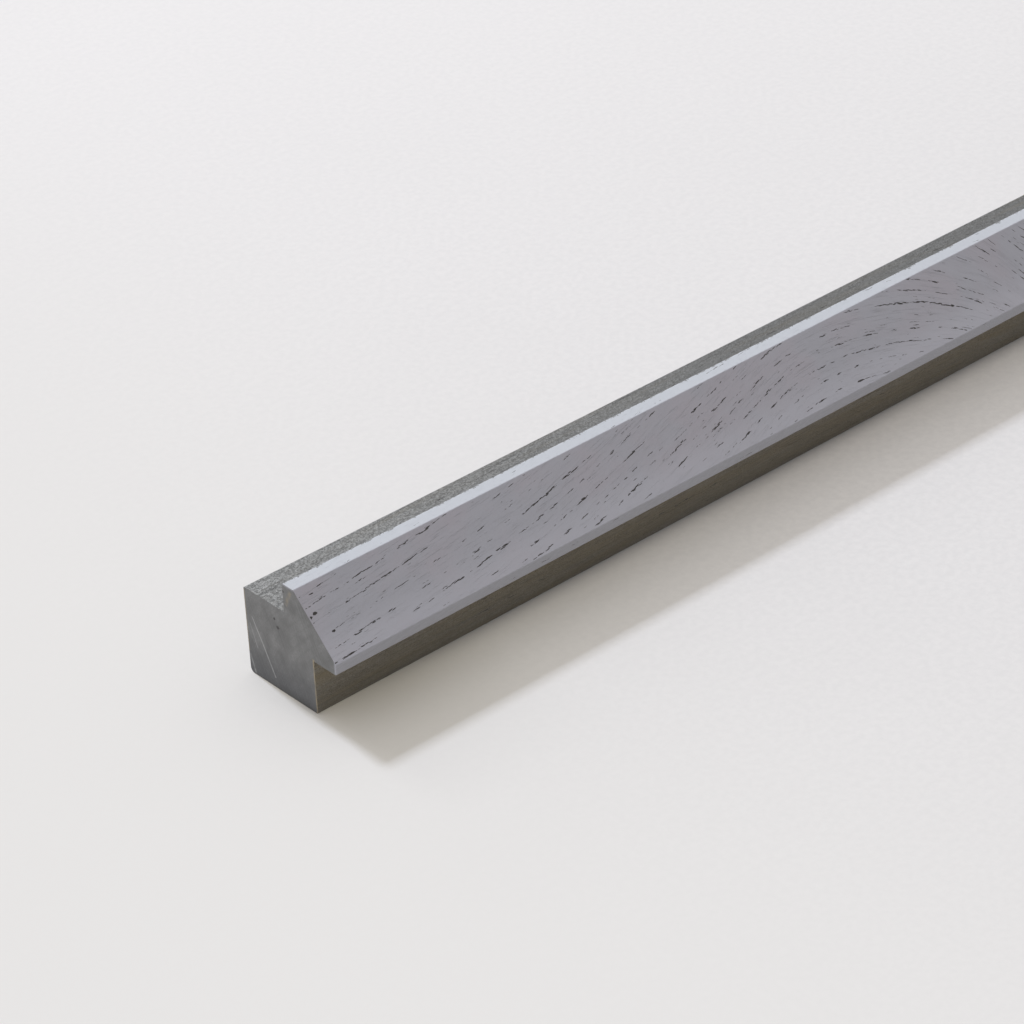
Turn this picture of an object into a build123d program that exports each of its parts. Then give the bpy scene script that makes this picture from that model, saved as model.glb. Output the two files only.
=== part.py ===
from build123d import *
import os

# An internal corner trim in one length of hardwood. Its back half is a square
# post that stands in the corner where two boarded surfaces meet. A rebate along
# each side takes the edge of a board, a lip covers the face of that board, and
# one broad bevelled face bridges the corner between the two lips.
#
# Millimetres. X runs along the length, +Y points to the back and +Z up, as the
# trim lies on one of its two fixing faces. The origin is the centre of the
# section's 40 x 40 footprint on the floor, halfway along the length.

# Stock length
trim_length = 900.0

# Square blank that the section is machined from
blank_width = 40.0

# Boards that the rebates take
board_thickness = 18.0
board_play = 1.0

# Lips that cover the boards
lip_reach = 10.0
lip_edge = 3.5

# Easing of the arrises, from the back of the section to the face
back_arris_round = 1.6
post_arris_round = 0.5
lip_tip_round = 0.6
face_arris_round = 0.4

# Sizes that follow from the values above
rebate_width = board_thickness + board_play
post_width = blank_width - lip_reach
face_edge = rebate_width + lip_edge
face_set_back = blank_width - face_edge

# How near to a named corner a vertex has to be to count as that corner
corner_reach = 0.01


def twin_corners(section, across, up):
    """The section's corner at a place, and its twin over the corner's diagonal.

    Places are measured on the section: across from the back face, up from the
    bottom face. Both halves are alike, so a corner at (across, up) has a twin
    at (up, across).
    """
    places = [Vector(across, up), Vector(up, across)]
    return [
        vertex
        for vertex in section.vertices()
        if any((Vector(*vertex) - place).length < corner_reach for place in places)
    ]


def cut_rebate(across, up, width, height):
    """Cut one rebate out of the blank. The place is its low corner."""
    with Locations((across, up)):
        Rectangle(width, height, align=(Align.MIN, Align.MIN), mode=Mode.SUBTRACT)


def trim_section():
    """The moulded section: a square blank, its two rebates and the bevelled face."""
    right_end = Plane(
        origin=(trim_length / 2, blank_width / 2, 0),
        x_dir=(0, -1, 0),
        z_dir=(-1, 0, 0),
    )
    with BuildSketch(right_end) as section:
        Rectangle(blank_width, blank_width, align=(Align.MIN, Align.MIN))
        cut_rebate(0, post_width, rebate_width, lip_reach)
        cut_rebate(post_width, 0, lip_reach, rebate_width)
        chamfer(twin_corners(section, blank_width, blank_width), length=face_set_back)

        fillet(twin_corners(section, 0, 0), radius=back_arris_round)
        fillet(twin_corners(section, 0, post_width), radius=post_arris_round)
        fillet(twin_corners(section, rebate_width, blank_width), radius=lip_tip_round)
        fillet(twin_corners(section, face_edge, blank_width), radius=face_arris_round)
    return section.sketch


def corner_trim():
    """The whole trim: the section run out along its length."""
    return extrude(trim_section(), amount=trim_length)


def main():
    os.makedirs("parts", exist_ok=True)
    export_step(corner_trim(), "parts/corner_trim.step")


main()
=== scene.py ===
"""A length of painted hardwood internal corner trim, on a pale studio floor.

The trim is one piece of stock. Geometry Nodes run its moulded section out along
the length and lay out the open pores of the wood, in rows that follow the growth
rings. A function cuts the pores into the flat sides. The colours, the thin spray
on the sawn faces and the marks of the saw are node materials. Sizes are in
metres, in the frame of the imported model.
"""
import math

import bpy
from mathutils import Matrix, Vector, geometry


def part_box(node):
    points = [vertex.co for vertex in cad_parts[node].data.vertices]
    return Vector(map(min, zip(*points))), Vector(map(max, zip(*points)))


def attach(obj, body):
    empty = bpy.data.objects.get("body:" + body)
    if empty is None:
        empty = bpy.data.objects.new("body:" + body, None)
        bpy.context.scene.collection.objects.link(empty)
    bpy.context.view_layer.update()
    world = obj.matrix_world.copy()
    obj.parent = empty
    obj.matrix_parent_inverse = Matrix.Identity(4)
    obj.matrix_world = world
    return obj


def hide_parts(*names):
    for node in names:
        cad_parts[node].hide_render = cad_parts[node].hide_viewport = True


bl_info = {
    "name": "Corner Trim",
    "version": (1, 0, 0),
    "blender": (4, 5, 0),
    "location": "View3D > Sidebar > Corner Trim",
    "description": "Makes a length of painted hardwood corner trim with open grain",
    "category": "Add Mesh",
}

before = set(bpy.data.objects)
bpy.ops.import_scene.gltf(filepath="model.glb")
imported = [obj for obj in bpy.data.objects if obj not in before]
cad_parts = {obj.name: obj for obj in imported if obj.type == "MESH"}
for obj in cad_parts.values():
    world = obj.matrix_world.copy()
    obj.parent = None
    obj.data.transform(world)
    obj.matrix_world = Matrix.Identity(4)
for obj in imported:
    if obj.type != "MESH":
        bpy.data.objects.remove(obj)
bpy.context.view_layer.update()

NODE = "corner_trim"
BODY = "root"
PIECE = "corner_trim_in_grain"
MM = 0.001

trim_low, trim_high = (Vector(corner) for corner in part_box(NODE))
trim_size = trim_high - trim_low

# How steeply the growth rings climb the bevelled face, in degrees, at distances
# in millimetres from the near end. They climb to a crest, fall steeply and
# settle, and do so once more over the rest of the length.
RING_SLOPES = (
    (0, 4.5),
    (25, 5.5),
    (50, 7),
    (80, 9),
    (95, 12),
    (130, 13.5),
    (165, 15.5),
    (182, 17),
    (196, 8),
    (207, 1),
    (220, -6),
    (235, -13),
    (250, -18),
    (262, -27),
    (272, -34),
    (282, -40),
    (290, -52),
    (299, -61),
    (308, -56),
    (320, -36),
    (335, -18),
    (360, -8),
    (410, -3),
    (470, 2),
    (540, 5),
    (610, 8),
    (680, 12),
    (730, 16),
    (752, 7),
    (766, -3),
    (785, -14),
    (806, -27),
    (822, -31),
    (840, -19),
    (865, -9),
    (900, -4),
)
RING_STEP = 5


class TrimSizes(bpy.types.PropertyGroup):
    """Sizes of the moulded section."""

    length: bpy.props.FloatProperty(
        name="Length", description="Length of the stock", default=trim_size.x, min=0.05, unit="LENGTH"
    )
    blank_width: bpy.props.FloatProperty(
        name="Blank width", description="Side of the square blank",
        default=trim_size.y, min=0.02, unit="LENGTH",
    )
    rebate_width: bpy.props.FloatProperty(
        name="Rebate width", description="Width of the lower rebate across its floor",
        default=0.0187, unit="LENGTH",
    )
    upper_rebate: bpy.props.FloatProperty(
        name="Upper rebate", description="Width of the upper rebate across its floor",
        default=0.0183, unit="LENGTH",
    )
    lip_reach: bpy.props.FloatProperty(
        name="Lip reach", description="How far a lip stands out over its rebate",
        default=0.010, unit="LENGTH",
    )
    lip_edge: bpy.props.FloatProperty(
        name="Lip edge", description="Thickness of the lower lip at its edge", default=0.0038, unit="LENGTH"
    )
    upper_edge: bpy.props.FloatProperty(
        name="Upper edge", description="Thickness of the upper lip at its edge",
        default=0.0049, unit="LENGTH",
    )
    back_round: bpy.props.FloatProperty(
        name="Back round", description="Radius of the back arris", default=0.0016, unit="LENGTH"
    )
    post_round: bpy.props.FloatProperty(
        name="Post round", description="Radius of the post's other arrises", default=0.0005, unit="LENGTH"
    )
    tip_round: bpy.props.FloatProperty(
        name="Tip round", description="Radius at the tip of a lip", default=0.0006, unit="LENGTH"
    )
    face_round: bpy.props.FloatProperty(
        name="Face round", description="Radius at the edges of the bevelled face",
        default=0.0004, unit="LENGTH",
    )
    root_round: bpy.props.FloatProperty(
        name="Root round", description="Radius that the cutter leaves in a rebate",
        default=0.0002, unit="LENGTH",
    )
    end_lean: bpy.props.FloatProperty(
        name="End lean",
        description="How far the near end is sawn out of square over the blank's width",
        default=0.0012,
        unit="LENGTH",
    )


class GrainSizes(bpy.types.PropertyGroup):
    """Sizes of the open grain."""

    row_gap: bpy.props.FloatProperty(
        name="Row gap", description="Distance between rows of pores", default=0.0011, unit="LENGTH"
    )
    station_gap: bpy.props.FloatProperty(
        name="Station gap", description="Distance between pores along a row", default=0.0009, unit="LENGTH"
    )
    pore_length: bpy.props.FloatProperty(
        name="Pore length", description="Length of a full pore", default=0.0021, unit="LENGTH"
    )
    pore_width: bpy.props.FloatProperty(
        name="Pore width", description="Width of a full pore", default=0.00037, unit="LENGTH"
    )
    pore_depth: bpy.props.FloatProperty(
        name="Pore depth", description="Depth of a full pore", default=0.00030, unit="LENGTH"
    )
    seed: bpy.props.IntProperty(name="Seed", description="Seed of the pattern of pores", default=11, min=0)


class FinishColours(bpy.types.PropertyGroup):
    """Colours of the finish, as linear values."""

    paint: bpy.props.FloatVectorProperty(
        name="Paint", description="The paint on the show faces",
        default=(0.475, 0.483, 0.565), subtype="COLOR", size=3,
    )
    spray: bpy.props.FloatVectorProperty(
        name="Spray", description="The thin spray on sawn faces",
        default=(0.285, 0.290, 0.300), subtype="COLOR", size=3,
    )
    wood: bpy.props.FloatVectorProperty(
        name="Wood", description="Bare wood where the spray is thin",
        default=(0.313, 0.259, 0.167), subtype="COLOR", size=3,
    )
    pore: bpy.props.FloatVectorProperty(
        name="Pore", description="The inside of a pore",
        default=(0.098, 0.094, 0.096), subtype="COLOR", size=3,
    )
    floor: bpy.props.FloatVectorProperty(
        name="Floor", description="The studio floor", default=(0.630, 0.631, 0.670), subtype="COLOR", size=3
    )
    floor_glow: bpy.props.FloatVectorProperty(
        name="Floor glow", description="The floor's own light, which fills the shadow",
        default=(0.197, 0.182, 0.164),
        subtype="COLOR", size=3,
    )


class StageSizes(bpy.types.PropertyGroup):
    """The camera and the lamps."""

    azimuth: bpy.props.FloatProperty(
        name="Azimuth", description="Side from which the camera looks",
        default=math.radians(-42.1451), subtype="ANGLE",
    )
    elevation: bpy.props.FloatProperty(
        name="Elevation", description="How far the camera looks down",
        default=math.radians(32.7313), subtype="ANGLE",
    )
    roll: bpy.props.FloatProperty(
        name="Roll", description="Turn of the camera about its line of sight",
        default=math.radians(-1.1731), subtype="ANGLE",
    )
    distance: bpy.props.FloatProperty(
        name="Distance", description="From the camera to its target", default=1.136365, unit="LENGTH"
    )
    target: bpy.props.FloatVectorProperty(
        name="Target", description="The point that the camera looks at",
        default=(-0.345355, 0.020, 0.0084176),
        subtype="TRANSLATION", size=3,
    )
    focal: bpy.props.FloatProperty(
        name="Focal length", description="Focal length on a 36 mm wide sensor",
        default=130.886, unit="CAMERA",
    )
    key_power: bpy.props.FloatProperty(
        name="Key", description="Strength of the key lamp behind the trim", default=1.72, min=0.0
    )
    key_height: bpy.props.FloatProperty(
        name="Key height", description="Height of the key lamp over the floor",
        default=math.radians(45.4), subtype="ANGLE",
    )
    key_turn: bpy.props.FloatProperty(
        name="Key turn", description="Turn of the key lamp toward the far end",
        default=math.radians(2.2), subtype="ANGLE",
    )
    key_spread: bpy.props.FloatProperty(
        name="Key spread", description="How large the key lamp looks",
        default=math.radians(5.0), subtype="ANGLE",
    )
    sky_power: bpy.props.FloatProperty(
        name="Surround", description="Strength of the light from all round", default=0.50, min=0.0
    )
    sky_lift: bpy.props.FloatVectorProperty(
        name="Surround lift", description="How much the surround brightens toward X, Y and up",
        default=(-0.12, 0.20, 0.18), size=3,
    )


class Value:
    """What a node gives out. It is added and multiplied like a number, by a Math node each time."""

    def __init__(self, socket):
        self.socket = socket
        self.tree = socket.id_data

    def __add__(self, other):
        return maths("ADD", self, other)

    def __radd__(self, other):
        return maths("ADD", other, self)

    def __sub__(self, other):
        return maths("SUBTRACT", self, other)

    def __rsub__(self, other):
        return maths("SUBTRACT", other, self)

    def __mul__(self, other):
        return maths("MULTIPLY", self, other)

    def __truediv__(self, other):
        return maths("DIVIDE", self, other)

    def __rtruediv__(self, other):
        return maths("DIVIDE", other, self)

    def __abs__(self):
        return maths("ABSOLUTE", self)


def put(socket, value):
    """Give an input what another node gives out, or a constant."""
    if isinstance(value, Value):
        value.tree.links.new(value.socket, socket)
    else:
        socket.default_value = value


def add(tree, kind, inputs=None, **settings):
    """Add a node with its settings. Its inputs are named or numbered."""
    node = tree.nodes.new(kind)
    for name, value in settings.items():
        setattr(node, name, value)
    for name, value in (inputs or {}).items():
        put(node.inputs[name], value)
    return node


def made(tree, kind, inputs=None, output=0, **settings):
    """What a new node gives out."""
    return Value(add(tree, kind, inputs, **settings).outputs[output])


def maths(operation, *values):
    """One Math node. At least one of the values comes from a node."""
    tree = next(value.tree for value in values if isinstance(value, Value))
    return made(tree, "ShaderNodeMath", dict(enumerate(values)), operation=operation)


def combined(tree, x, y, z):
    """A vector from three values."""
    return made(tree, "ShaderNodeCombineXYZ", {0: x, 1: y, 2: z})


def separated(vector):
    """The three values of a vector."""
    return [Value(socket) for socket in add(vector.tree, "ShaderNodeSeparateXYZ", {0: vector}).outputs]


def length_of(first, second):
    """The length of a step, from its two parts."""
    step = combined(first.tree, first, second, 0.0)
    return made(first.tree, "ShaderNodeVectorMath", {0: step}, output="Value", operation="LENGTH")


def ranged(value, low, high, to_low=0.0, to_high=1.0, smooth=False):
    """A value carried from one range to another, and held inside it."""
    return made(
        value.tree,
        "ShaderNodeMapRange",
        {"Value": value, "From Min": low, "From Max": high, "To Min": to_low, "To Max": to_high},
        interpolation_type="SMOOTHSTEP" if smooth else "LINEAR",
    )


def noise(vector, scale=1.0, detail=2.0, roughness=0.5):
    """Noise over a vector, from 0 to 1."""
    inputs = {"Vector": vector, "Scale": scale, "Detail": detail, "Roughness": roughness}
    return made(vector.tree, "ShaderNodeTexNoise", inputs, noise_dimensions="3D")


# The kinds of sockets on node groups
SOCKETS = {
    "geometry": "NodeSocketGeometry",
    "length": "NodeSocketFloat",
    "value": "NodeSocketFloat",
    "whole": "NodeSocketInt",
    "vector": "NodeSocketVector",
    "material": "NodeSocketMaterial",
}


def new_group(name, kind, takes, gives):
    """A node group with named inputs and outputs. Returns it, its inputs' values and its output."""
    tree = bpy.data.node_groups.new(name, kind)
    for label, (socket_kind, default) in takes.items():
        socket = tree.interface.new_socket(name=label, in_out="INPUT", socket_type=SOCKETS[socket_kind])
        if default is not None:
            socket.default_value = default
        if socket_kind == "length":
            socket.subtype = "DISTANCE"
    for label, socket_kind in gives.items():
        tree.interface.new_socket(name=label, in_out="OUTPUT", socket_type=SOCKETS[socket_kind])
    start = tree.nodes.new("NodeGroupInput")
    end = tree.nodes.new("NodeGroupOutput")
    return tree, {socket.name: Value(socket) for socket in start.outputs if socket.name}, end.inputs


def use_group(tree, group, inputs=None):
    """Place a group in a tree. Returns what it gives, by name."""
    kind = "GeometryNodeGroup" if tree.bl_idname == "GeometryNodeTree" else "ShaderNodeGroup"
    return {socket.name: Value(socket) for socket in add(tree, kind, inputs, node_tree=group).outputs}


def sizes_for(properties, labels):
    """The values of properties by the labels of the node inputs that they go to."""
    return {label: getattr(properties, label.lower().replace(" ", "_")) for label in labels}


def lengths_for(properties, labels):
    """Inputs of a node group for such properties, all of them lengths."""
    return {label: ("length", value) for label, value in sizes_for(properties, labels).items()}


def ring_rise(station):
    """How far a growth ring has climbed at a station, in millimetres."""
    rise = 0.0
    for (start, slope), (end, next_slope) in zip(RING_SLOPES, RING_SLOPES[1:]):
        if station <= start:
            break
        reach = min(station, end)
        share = (reach - start) / (end - start)
        mean_slope = slope + (next_slope - slope) * share / 2
        rise += math.tan(math.radians(mean_slope)) * (reach - start)
    return rise


def ring_curve(along):
    """The rise of the rings, in metres, at a share of the length."""
    last = RING_SLOPES[-1][0]
    stations = range(0, last + RING_STEP, RING_STEP)
    rises = [ring_rise(station) for station in stations]
    low, high = min(rises), max(rises)
    node = add(along.tree, "ShaderNodeFloatCurve", {"Value": along})
    curve = node.mapping.curves[0]
    while len(curve.points) < len(rises):
        curve.points.new(0.5, 0.5)
    for point, station, rise in zip(curve.points, stations, rises):
        point.location = (station / last, (rise - low) / (high - low))
        point.handle_type = "VECTOR"
    node.mapping.update()
    return Value(node.outputs[0]) * ((high - low) * MM) + low * MM


def pick_by_index(index, values, kind):
    """One of several values, picked by an index."""
    node = add(index.tree, "GeometryNodeIndexSwitch", {"Index": index}, data_type=kind)
    while len(node.index_switch_items) < len(values):
        node.index_switch_items.new()
    for number, value in enumerate(values, 1):
        put(node.inputs[number], value)
    return Value(node.outputs[0])


# The sizes that node groups take, by the labels of their inputs
SECTION_SIZES = (
    "Blank Width",
    "Rebate Width",
    "Upper Rebate",
    "Lip Reach",
    "Lip Edge",
    "Upper Edge",
    "Back Round",
    "Post Round",
    "Tip Round",
    "Face Round",
    "Root Round",
)
GRAIN_SIZES = ("Row Gap", "Station Gap", "Pore Length", "Pore Width", "Pore Depth")


def section_corners(sizes):
    """The section's corners: across from the back, and up."""
    blank = sizes.blank_width
    post = blank - sizes.lip_reach
    lower, upper = sizes.rebate_width, sizes.upper_rebate
    return {
        "J": (0.0, 0.0),
        "I": (post, 0.0),
        "H": (post, lower),
        "F": (blank, lower),
        "E": (blank, lower + sizes.lip_edge),
        "D": (upper + sizes.upper_edge, blank),
        "C": (upper, blank),
        "B": (upper, post),
        "A": (0.0, post),
    }


def section_group(sizes):
    """Node group: the moulded section as a closed curve."""
    takes = lengths_for(sizes, SECTION_SIZES)
    tree, size, out = new_group("Moulded section", "GeometryNodeTree", takes, {"Section": "geometry"})
    blank, lower, upper = size["Blank Width"], size["Rebate Width"], size["Upper Rebate"]
    post = blank - size["Lip Reach"]
    edge = lower + size["Lip Edge"]
    upper_edge = upper + size["Upper Edge"]
    corners = (
        (0.0, 0.0, "Back Round"),
        (0.0, post, "Post Round"),
        (upper, post, "Root Round"),
        (upper, blank, "Tip Round"),
        (upper_edge, blank, "Face Round"),
        (blank, edge, "Face Round"),
        (blank, lower, "Tip Round"),
        (post, lower, "Root Round"),
        (post, 0.0, "Post Round"),
    )
    index = made(tree, "GeometryNodeInputIndex")
    # A profile's Y runs down when it is swept along X, so a height is negative here
    places = [combined(tree, across, up * -1.0, 0.0) for across, up, _ in corners]
    place = pick_by_index(index, places, "VECTOR")
    radius = pick_by_index(index, [size[name] for _, _, name in corners], "FLOAT")
    line = made(tree, "GeometryNodeMeshLine", {"Count": len(corners)})
    outline = made(tree, "GeometryNodeSetPosition", {"Geometry": line, "Position": place})
    curve = made(tree, "GeometryNodeMeshToCurve", {0: outline})
    closed = made(tree, "GeometryNodeSetSplineCyclic", {"Geometry": curve, "Cyclic": True})
    fillet = {"Curve": closed, "Count": 6, "Radius": radius, "Limit Radius": True}
    put(out["Section"], made(tree, "GeometryNodeFilletCurve", fillet, mode="POLY"))
    return tree


# How far in from the edges of a face a pore keeps, how far apart the faces' seeds
# are, and how much of a pore's half length the line of its floor has
PORE_MARGIN = 0.35 * MM
SEEDS_PER_FACE = 20
FLOOR_SHARE = 0.45


def random_value(tree, low, high, seed, index=None):
    """A random value between two limits, of each point or of an index."""
    inputs = {2: low, 3: high, "Seed": seed}
    if index is not None:
        inputs["ID"] = index
    return made(tree, "FunctionNodeRandomValue", inputs, output=1, data_type="FLOAT")


def field_named(tree, name, kind):
    """The field that points carry as a named attribute."""
    return made(tree, "GeometryNodeInputNamedAttribute", {"Name": name}, data_type=kind)


def with_field(geometry, name, kind, field):
    """A geometry whose points carry a field as a named attribute."""
    inputs = {"Geometry": geometry, "Name": name, "Value": field}
    return made(geometry.tree, "GeometryNodeStoreNamedAttribute", inputs, data_type=kind, domain="POINT")


def joined(tree, parts):
    """Several geometries as one."""
    join = add(tree, "GeometryNodeJoinGeometry")
    for part in parts:
        put(join.inputs[0], part)
    return Value(join.outputs[0])


def pore_shape(tree):
    """One pore: its outline on the face, and under it the line of its floor."""
    rim = made(tree, "GeometryNodeMeshCircle", {"Vertices": 9, "Radius": 1.0}, fill_type="NGON")
    start, offset = (-FLOOR_SHARE, 0.0, -1.0), (2 * FLOOR_SHARE, 0.0, 0.0)
    line = {"Count": 2, "Start Location": start, "Offset": offset}
    floor = made(tree, "GeometryNodeMeshLine", line)
    return joined(tree, (rim, floor))


def pore_group(grain):
    """Node group: the pores of one flat face, as outlines with the line of the floor under each.

    The face runs along X from its middle, up Y from 0, and looks along Z. Rows
    follow the rings. Where the pattern is strong, pores are wide and overlap.
    """
    takes = {
        "Length": ("length", trim_size.x),
        "Width": ("length", 0.025),
        **lengths_for(grain, GRAIN_SIZES),
        "Flow": ("value", 1.0),
        "Openness": ("value", 0.5),
        "Seed": ("whole", 0),
    }
    tree, size, out = new_group("Open pores", "GeometryNodeTree", takes, {"Pores": "geometry"})
    length, width = size["Length"], size["Width"]
    row_gap, station_gap = size["Row Gap"], size["Station Gap"]
    seeds = [size["Seed"] + number for number in range(9)]
    rows = maths("CEIL", width / row_gap) + 1.0
    stations = length / station_gap
    grid = made(
        tree,
        "GeometryNodeMeshGrid",
        {"Size X": length, "Size Y": 1.0, "Vertices X": stations, "Vertices Y": rows},
    )
    x, y, _ = separated(made(tree, "GeometryNodeInputPosition"))
    row_here = maths("ROUND", (y + 0.5) * (rows - 1.0))
    station = x + random_value(tree, -0.5, 0.5, seeds[0]) * station_gap

    def rise_at(offset):
        return ring_curve((station + offset) / length + 0.5) * size["Flow"]

    rise = rise_at(0.0)
    slope_reach = 2 * MM
    slope = (rise_at(slope_reach) - rise_at(-slope_reach)) / (2 * slope_reach)

    # A row keeps its number over the whole length, so its strength and place do too
    row = maths("FLOOR", rise * -1.0 / row_gap) + row_here
    row_place = (row + random_value(tree, -0.35, 0.35, seeds[1], row)) * row_gap
    strong = maths("LESS_THAN", maths("FLOORED_MODULO", row, 4.0), 0.5)
    strong_weight = strong * random_value(tree, 0.75, 1.0, seeds[2], row)
    weight = maths("MAXIMUM", strong_weight, random_value(tree, 0.0, 0.30, seeds[3], row))
    row_spread = row * 5.37
    seed_spread = size["Seed"] * 3.71
    cluster = noise(combined(tree, station / 0.0045, row_spread, seed_spread))
    patch = noise(combined(tree, station / 0.045, row * 0.35, seed_spread), detail=0.0)
    value = cluster + weight * 0.20 + (patch - 0.5) * 0.25
    limit = 1.15 - size["Openness"] * 0.8
    fullness = ranged(value, limit, limit + 0.17, 0.28, 1.0) * ranged(weight, 0.2, 0.8, 0.62, 1.0)

    wander = noise(combined(tree, station / 0.009, row_spread, 9.0), detail=1.0)
    wander = (wander - 0.5) * (0.9 * MM)
    stagger = random_value(tree, -0.28 * MM, 0.28 * MM, seeds[4]) * fullness
    up = rise + row_place + wander + stagger
    inside = maths("GREATER_THAN", up, PORE_MARGIN) * maths("LESS_THAN", up, width - PORE_MARGIN)
    kept = inside * maths("GREATER_THAN", value, limit)
    # The fields above read the grid as it is here, so the points carry what they find before they move
    place = combined(tree, station, up, 0.0)
    grid = with_field(grid, "kept", "BOOLEAN", kept)
    grid = with_field(grid, "fullness", "FLOAT", fullness)
    grid = with_field(grid, "slope", "FLOAT", slope)
    placed = made(tree, "GeometryNodeSetPosition", {"Geometry": grid, "Position": place})

    full = field_named(tree, "fullness", "FLOAT")
    steepness = maths("ARCTANGENT", field_named(tree, "slope", "FLOAT"))
    angle = steepness + random_value(tree, -0.09, 0.09, seeds[5])
    half_length = size["Pore Length"] * (random_value(tree, 0.32, 0.62, seeds[6]) * (0.35 + full * 0.65))
    half_width = size["Pore Width"] * (random_value(tree, 0.38, 0.6, seeds[7]) * full)
    half_depth = size["Pore Depth"] * (random_value(tree, 0.8, 1.2, seeds[8]) * full)
    pores = made(
        tree,
        "GeometryNodeInstanceOnPoints",
        {
            "Points": placed,
            "Selection": field_named(tree, "kept", "BOOLEAN"),
            "Instance": pore_shape(tree),
            "Rotation": combined(tree, 0.0, 0.0, angle),
            "Scale": combined(tree, half_length, half_width, half_depth),
        },
    )
    real = made(tree, "GeometryNodeRealizeInstances", {0: pores})
    ragged = noise(made(tree, "GeometryNodeInputPosition"), 1300.0, 1.0)
    offset = combined(tree, 0.0, (ragged - 0.5) * (0.32 * MM), 0.0)
    put(out["Pores"], made(tree, "GeometryNodeSetPosition", {"Geometry": real, "Offset": offset}))
    return tree


# Each face of the section by its first and last corner: how much of the rings'
# climb its rows follow, how open its grain is, and how large its pores are
PORE_FACES = (
    ("E", "D", 1.0, 0.585, 1.0),
    ("D", "C", 0.25, 0.50, 0.6),
    ("C", "B", 0.1, 0.44, 0.8),
    ("B", "A", 0.12, 0.475, 0.8),
    ("A", "J", 0.5, 0.468, 0.9),
    ("J", "I", 0.15, 0.44, 0.9),
    ("I", "H", 0.08, 0.46, 0.7),
    ("H", "F", 0.1, 0.44, 0.7),
    ("F", "E", 0.2, 0.47, 0.5),
)


def face_frame(sizes, start, end):
    """A flat face: its first corner at mid length, the way up it, its width and its outward way."""
    corners = section_corners(sizes)
    (across, up), (end_across, end_up) = corners[start], corners[end]
    run = Vector((0.0, across - end_across, end_up - up))
    way = run.normalized()
    return Vector((0.0, sizes.blank_width / 2 - across, up)), way, run.length, Vector((1, 0, 0)).cross(way)


def blank_group(section, sizes):
    """Node group: the section run out along the length, with its materials set."""
    takes = {
        **lengths_for(sizes, SECTION_SIZES + ("Length", "End Lean")),
        "Step": ("length", 0.0075),
        "Paint": ("material", None),
        "Spray": ("material", None),
        "End Grain": ("material", None),
    }
    tree, size, out = new_group("Corner trim blank", "GeometryNodeTree", takes, {"Blank": "geometry"})
    outline = use_group(tree, section, {name: size[name] for name in SECTION_SIZES})["Section"]
    half = size["Length"] * 0.5
    ends = {"Start": combined(tree, half * -1.0, 0.0, 0.0), "End": combined(tree, half, 0.0, 0.0)}
    path = made(tree, "GeometryNodeCurvePrimitiveLine", ends)
    steps = maths("ROUND", size["Length"] / size["Step"]) + 1.0
    path = made(tree, "GeometryNodeResampleCurve", {"Curve": path, "Count": steps})
    sweep = {"Curve": path, "Profile Curve": outline, "Fill Caps": True}
    solid = made(tree, "GeometryNodeCurveToMesh", sweep)
    blank = size["Blank Width"]
    back = blank * 0.5
    # The near end leans: its foot is set in from its top, and the cut's lean dies out over one step
    x, _, z = separated(made(tree, "GeometryNodeInputPosition"))
    near = maths("LESS_THAN", x, MM - half)
    lean = near * (1.0 - z / blank) * size["End Lean"]
    offset = combined(tree, lean, back, 0.0)
    body = made(tree, "GeometryNodeSetPosition", {"Geometry": solid, "Offset": offset})
    result = made(tree, "GeometryNodeRealizeInstances", {0: body})
    _, y, z = separated(made(tree, "GeometryNodeInputPosition"))
    normal_x, _, _ = separated(made(tree, "GeometryNodeInputNormal"))
    is_end = maths("GREATER_THAN", abs(normal_x), 0.9)
    # What shows lies far from the back and from the underside, both distances added
    show_limit = blank + size["Upper Rebate"] - 0.5 * MM
    is_show = maths("GREATER_THAN", back + z - y, show_limit)
    for material, chosen in (("Spray", True), ("Paint", is_show), ("End Grain", is_end)):
        inputs = {"Geometry": result, "Selection": chosen, "Material": size[material]}
        result = made(tree, "GeometryNodeSetMaterial", inputs)
    put(out["Blank"], result)
    return tree


def grain_group(pores, sizes, grain):
    """Node group: the pores of every face, each set in its place on the trim."""
    takes = {
        "Length": ("length", sizes.length),
        **lengths_for(grain, GRAIN_SIZES),
        "Seed": ("whole", 0),
        "Pore": ("material", None),
    }
    tree, size, out = new_group("Open grain", "GeometryNodeTree", takes, {"Pores": "geometry"})
    faces = []
    for number, (start, end, flow, openness, scale) in enumerate(PORE_FACES):
        corner, way, width, _ = face_frame(sizes, start, end)
        inputs = {
            **{name: size[name] for name in ("Length", *GRAIN_SIZES)},
            "Width": width,
            "Pore Width": size["Pore Width"] * scale,
            "Pore Depth": size["Pore Depth"] * scale,
            "Flow": flow,
            "Openness": openness,
            "Seed": size["Seed"] + SEEDS_PER_FACE * number,
        }
        face = use_group(tree, pores, inputs)["Pores"]
        turn = (math.atan2(way.z, way.y), 0.0, 0.0)
        face = with_field(face, "face_number", "INT", number)
        move = {"Geometry": face, "Translation": corner, "Rotation": turn}
        faces.append(made(tree, "GeometryNodeTransform", move))
    real = made(tree, "GeometryNodeRealizeInstances", {0: joined(tree, faces)})
    put(out["Pores"], made(tree, "GeometryNodeSetMaterial", {"Geometry": real, "Material": size["Pore"]}))
    return tree


# Cut pores keep this far in from a face's long edges and from its ends. A point that
# only a crossing of outlines made sinks by the shallow depth
EDGE_MARGIN = 0.03 * MM
END_MARGIN = 0.1 * MM
SHALLOW_DEPTH = 0.08 * MM


def border_of(faces):
    """The edges that only one of some faces has, each in its face's direction."""
    seen = {}
    for face in faces:
        for first, second in zip(face, face[1:] + face[:1]):
            seen[(first, second)] = True
    return [edge for edge in seen if (edge[1], edge[0]) not in seen]


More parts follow.
